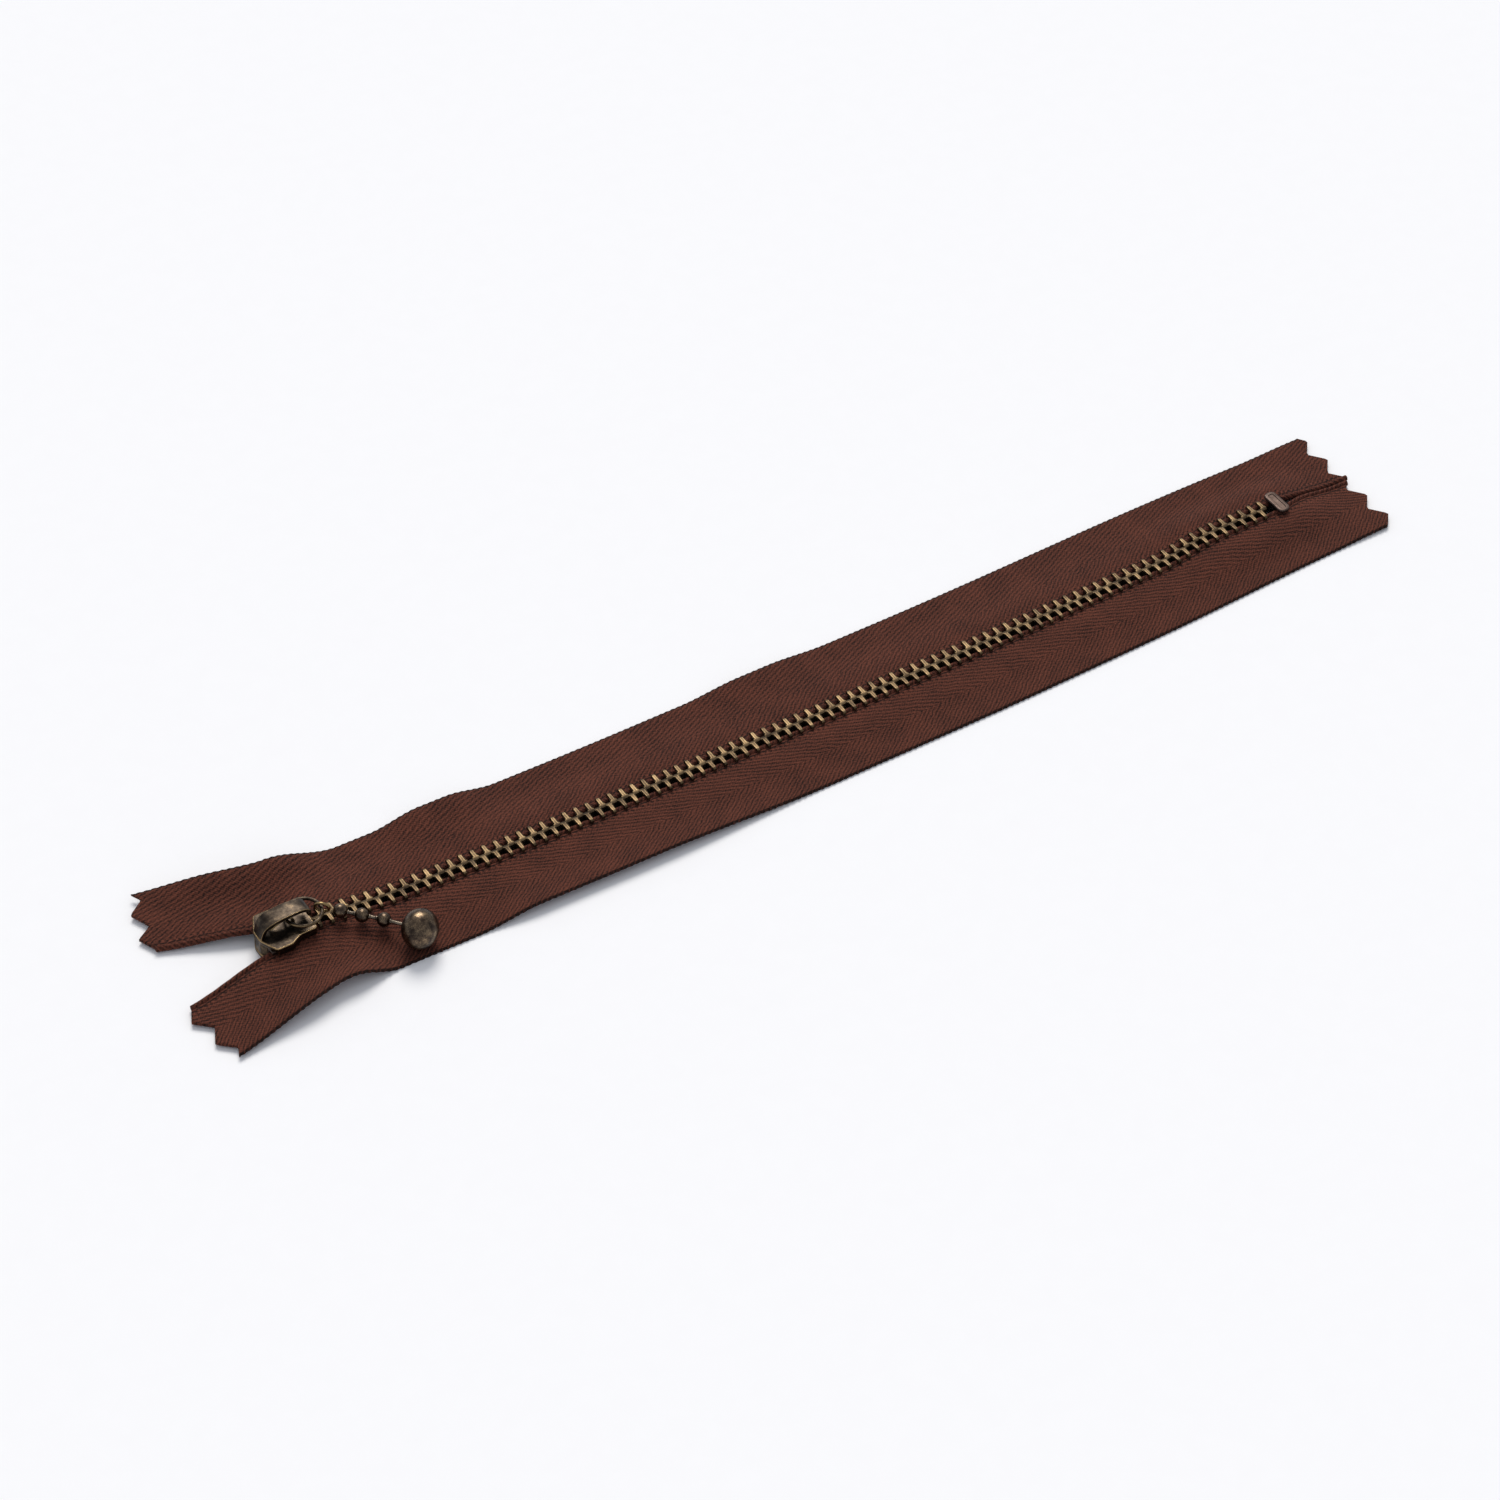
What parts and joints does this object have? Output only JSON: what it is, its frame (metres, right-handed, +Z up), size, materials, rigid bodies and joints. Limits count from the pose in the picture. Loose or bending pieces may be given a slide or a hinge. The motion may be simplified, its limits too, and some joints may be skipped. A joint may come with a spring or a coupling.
{
  "type": "zipper",
  "caption": "Closed-end metal-tooth zipper on woven tape, zipped shut, with a locking slider, a ring pull and a short ball chain ending in a round ball.",
  "frame": {"origin": "on the table under the middle of the whole zipper's outline; the line of teeth runs along +X at y = -2.35 mm", "axes": "+X along the zipper from the slider to the bottom stop, +Y across the tapes towards the side away from the pull, +Z up"},
  "size_m": [0.2341, 0.0406, 0.0072],
  "materials": {
    "tape_fabric": "matt polyester twill, dark red-brown",
    "tooth_brass": "dull antique brass, worn on the edges",
    "stop_brass": "greyish antique brass",
    "slider_brass": "dark antique brass, golden on worn edges",
    "ball_brass": "dark antique brass, polished by handling",
    "wire_brass": "bright brass wire and leaf"
  },
  "bodies": {
    "closed_end": {"bottom_stop": "stop_brass", "far_tape_end": "tape_fabric", "near_tape_end": "tape_fabric", "far_cord_end": "tooth_brass", "near_cord_end": "tooth_brass"},
    "far_stringer": {"far_tape": "tape_fabric", "far_teeth": "tooth_brass", "far_top_stop": "stop_brass"},
    "near_stringer": {"near_tape": "tape_fabric", "near_teeth": "tooth_brass", "near_top_stop": "stop_brass"},
    "slider": {"slider_body": "slider_brass", "slider_crown": "slider_brass"},
    "lock": {"lock_spring": "wire_brass"},
    "ring": {"pull_ring": "slider_brass"},
    "eye": {"connector_eye": "wire_brass"},
    "first_bead": {"bead_1": "ball_brass"},
    "second_bead": {"link_2": "wire_brass", "bead_2": "ball_brass"},
    "third_bead": {"link_3": "wire_brass", "bead_3": "ball_brass"},
    "ball": {"ball_link": "wire_brass", "pull_ball": "ball_brass"}
  },
  "joints": [
    {"name": "slider_slide", "type": "slide", "parent": "closed_end", "child": "slider", "axis": [1, 0, 0], "range_m": [0, 0.191], "deforming": ["far_tape", "near_tape", "far_teeth", "near_teeth", "far_tape_end", "near_tape_end", "far_cord_end", "near_cord_end"]},
    {"name": "far_opening", "type": "hinge", "parent": "closed_end", "child": "far_stringer", "pos_m": [0.09545, -0.0009, 0.00205], "axis": [0, 0, -1], "range_deg": [0, 18.5]},
    {"name": "near_opening", "type": "hinge", "parent": "closed_end", "child": "near_stringer", "pos_m": [0.09545, -0.0038, 0.00205], "axis": [0, 0, 1], "range_deg": [0, 18.5]},
    {"name": "ring_tilt", "type": "hinge", "parent": "slider", "child": "ring", "pos_m": [-0.09645, -0.00235, 0.00505], "axis": [0, -1, 0], "range_deg": [0, 150]},
    {"name": "lock_lift", "type": "slide", "parent": "slider", "child": "lock", "axis": [0, 0, 1], "range_m": [0, 0.00035]},
    {"name": "eye_tilt", "type": "hinge", "parent": "ring", "child": "eye", "pos_m": [-0.09039, -0.00283, 0.00505], "axis": [0, -1, 0], "range_deg": [0, 40]},
    {"name": "first_bead_swing", "type": "hinge", "parent": "eye", "child": "first_bead", "pos_m": [-0.08916, -0.00355, 0.00479], "axis": [0, 0, 1], "range_deg": [-20, 20]},
    {"name": "second_bead_swing", "type": "hinge", "parent": "first_bead", "child": "second_bead", "pos_m": [-0.0876, -0.00445, 0.00445], "axis": [0, 0, 1], "range_deg": [-30, 30]},
    {"name": "third_bead_swing", "type": "hinge", "parent": "second_bead", "child": "third_bead", "pos_m": [-0.08505, -0.0065, 0.00375], "axis": [0, 0, 1], "range_deg": [-30, 30]},
    {"name": "ball_swing", "type": "hinge", "parent": "third_bead", "child": "ball", "pos_m": [-0.08245, -0.0088, 0.0033], "axis": [0, 0, 1], "range_deg": [-30, 30]}
  ],
  "couplings": [
    {"joint": "far_opening", "follows": "slider_slide", "rad_per_m": 1.6448},
    {"joint": "near_opening", "follows": "slider_slide", "rad_per_m": 1.6448},
    {"joint": "lock_lift", "follows": "ring_tilt", "m_per_rad": 0.00011459}
  ]
}
